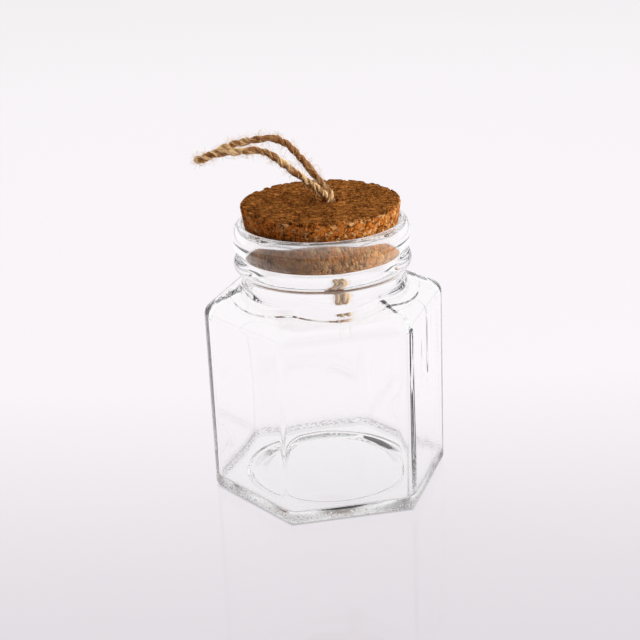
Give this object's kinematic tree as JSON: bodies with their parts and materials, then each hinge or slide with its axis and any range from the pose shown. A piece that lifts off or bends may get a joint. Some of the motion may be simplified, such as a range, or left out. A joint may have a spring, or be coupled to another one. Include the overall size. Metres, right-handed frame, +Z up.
{
  "type": "corked glass jar",
  "caption": "Clear hexagonal glass jar with a round beaded neck, closed by a tapered cork stopper that lifts out by a loop of knotted twine.",
  "frame": {"origin": "middle of the jar's base, on the surface that it stands on", "axes": "+Z up along the neck, +X through a corner of the hexagon, -Y out of the flat side that faces the picture's viewer"},
  "size_m": [0.0614, 0.0544, 0.0913],
  "materials": {
    "glass": "clear, fire-polished",
    "cork": "bare pressed cork granules",
    "twine": "natural jute, twisted plies"
  },
  "bodies": {
    "jar": {"glass_jar": "glass"},
    "cork": {"cork_stopper": "cork"},
    "twine": {"twine_loop": "twine", "twine_knot": "twine", "twine_tails": "twine"}
  },
  "joints": [
    {"name": "cork_lift", "type": "slide", "parent": "jar", "child": "cork", "axis": [0, 0, 1], "range_m": [0, 0.04]},
    {"name": "twine_swivel", "type": "hinge", "parent": "cork", "child": "twine", "pos_m": [0.0026, 0.0004, 0.0749], "axis": [0, 0, 1], "continuous": true}
  ]
}
